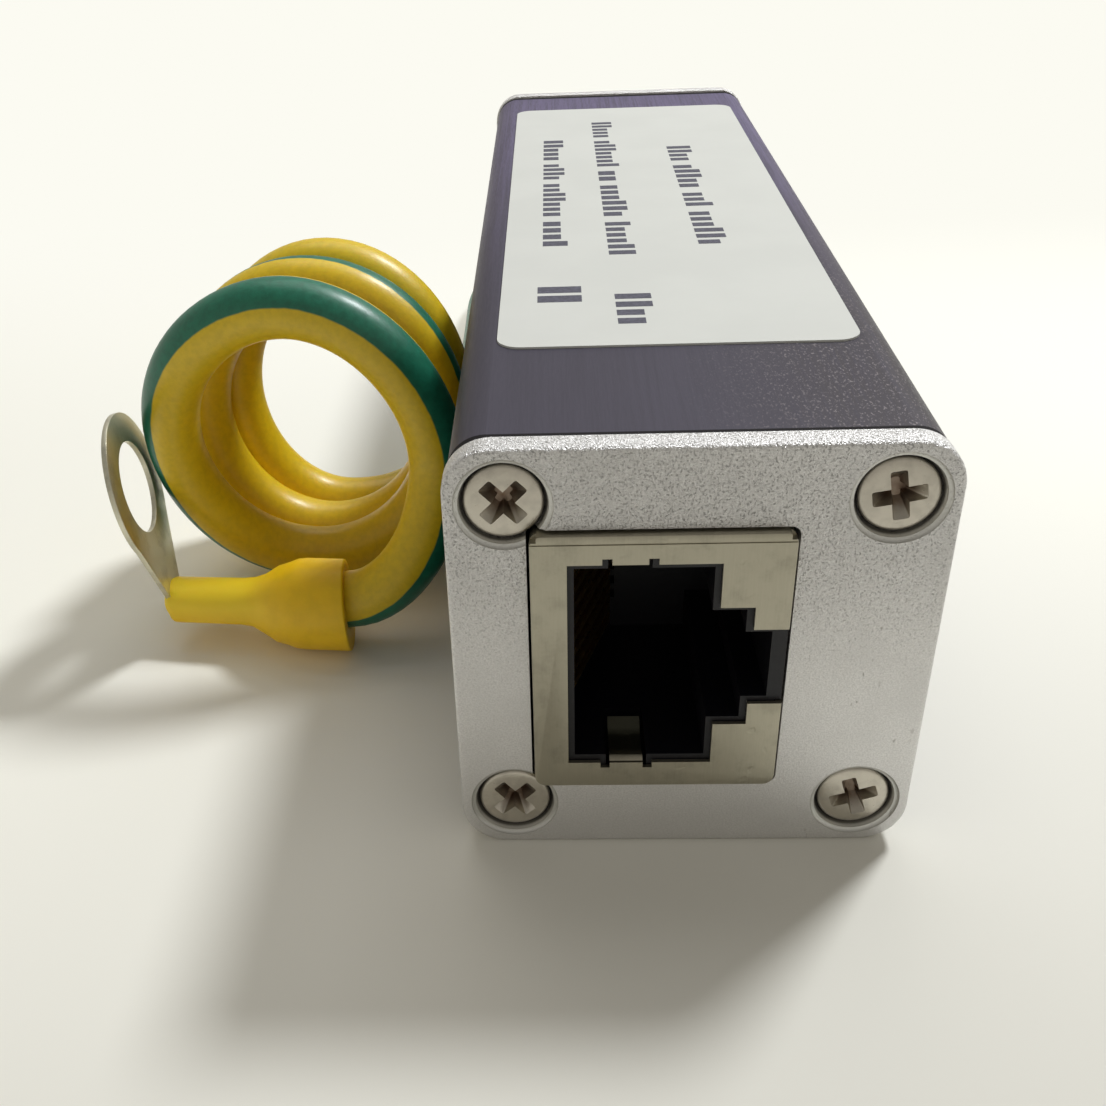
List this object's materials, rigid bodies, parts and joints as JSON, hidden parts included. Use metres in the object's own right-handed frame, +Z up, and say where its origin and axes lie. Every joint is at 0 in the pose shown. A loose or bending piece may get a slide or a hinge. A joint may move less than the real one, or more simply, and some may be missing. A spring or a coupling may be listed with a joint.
{
  "type": "ethernet surge protector",
  "caption": "Inline network surge protector: a square aluminium tube with a shielded socket at each end and a coiled earth lead with a ring terminal.",
  "frame": {"origin": "middle of the housing's underside, between the two end plates' bottom edges", "axes": "+Y along the tube towards the end where the earth lead leaves, +X towards the sockets' latch side, +Z up through the label"},
  "size_m": [0.0501, 0.1037, 0.025],
  "materials": {
    "anodised_tube": "brushed, dark grey anodised",
    "end_plate": "fine blasted",
    "screw": "plated",
    "label": "satin film",
    "board": "solder mask",
    "shield": "nickel plated sheet",
    "insert": "moulded black",
    "contact": "gold flashed",
    "ceramic": "ceramic with plated caps",
    "chip": "moulded",
    "terminal": "tinned",
    "bush": "satin",
    "wire": "yellow with a green stripe",
    "boot": "soft vinyl"
  },
  "bodies": {
    "root": {"housing": "anodised_tube", "front_plate": "end_plate", "rear_plate": "end_plate", "screw_front_1": "screw", "screw_front_2": "screw", "screw_front_3": "screw", "screw_front_4": "screw", "screw_rear_1": "screw", "screw_rear_2": "screw", "screw_rear_3": "screw", "screw_rear_4": "screw", "label": "label", "circuit_board": "board", "jack_shield_front": "shield", "jack_shield_rear": "shield", "jack_insert_front": "insert", "jack_insert_rear": "insert", "jack_contacts_front": "contact", "jack_contacts_rear": "contact", "gas_tube_1": "ceramic", "gas_tube_2": "ceramic", "gas_tube_3": "ceramic", "gas_tube_4": "ceramic", "diode_array_1": "chip", "diode_array_2": "chip", "diode_array_3": "chip", "diode_array_4": "chip", "earth_terminal": "terminal", "wire_bush": "bush", "ground_wire_tail": "wire", "ground_wire": "wire", "ground_wire_coil": "wire", "ground_wire_end": "wire", "terminal_boot": "boot", "ring_terminal": "terminal"}
  },
  "joints": []
}
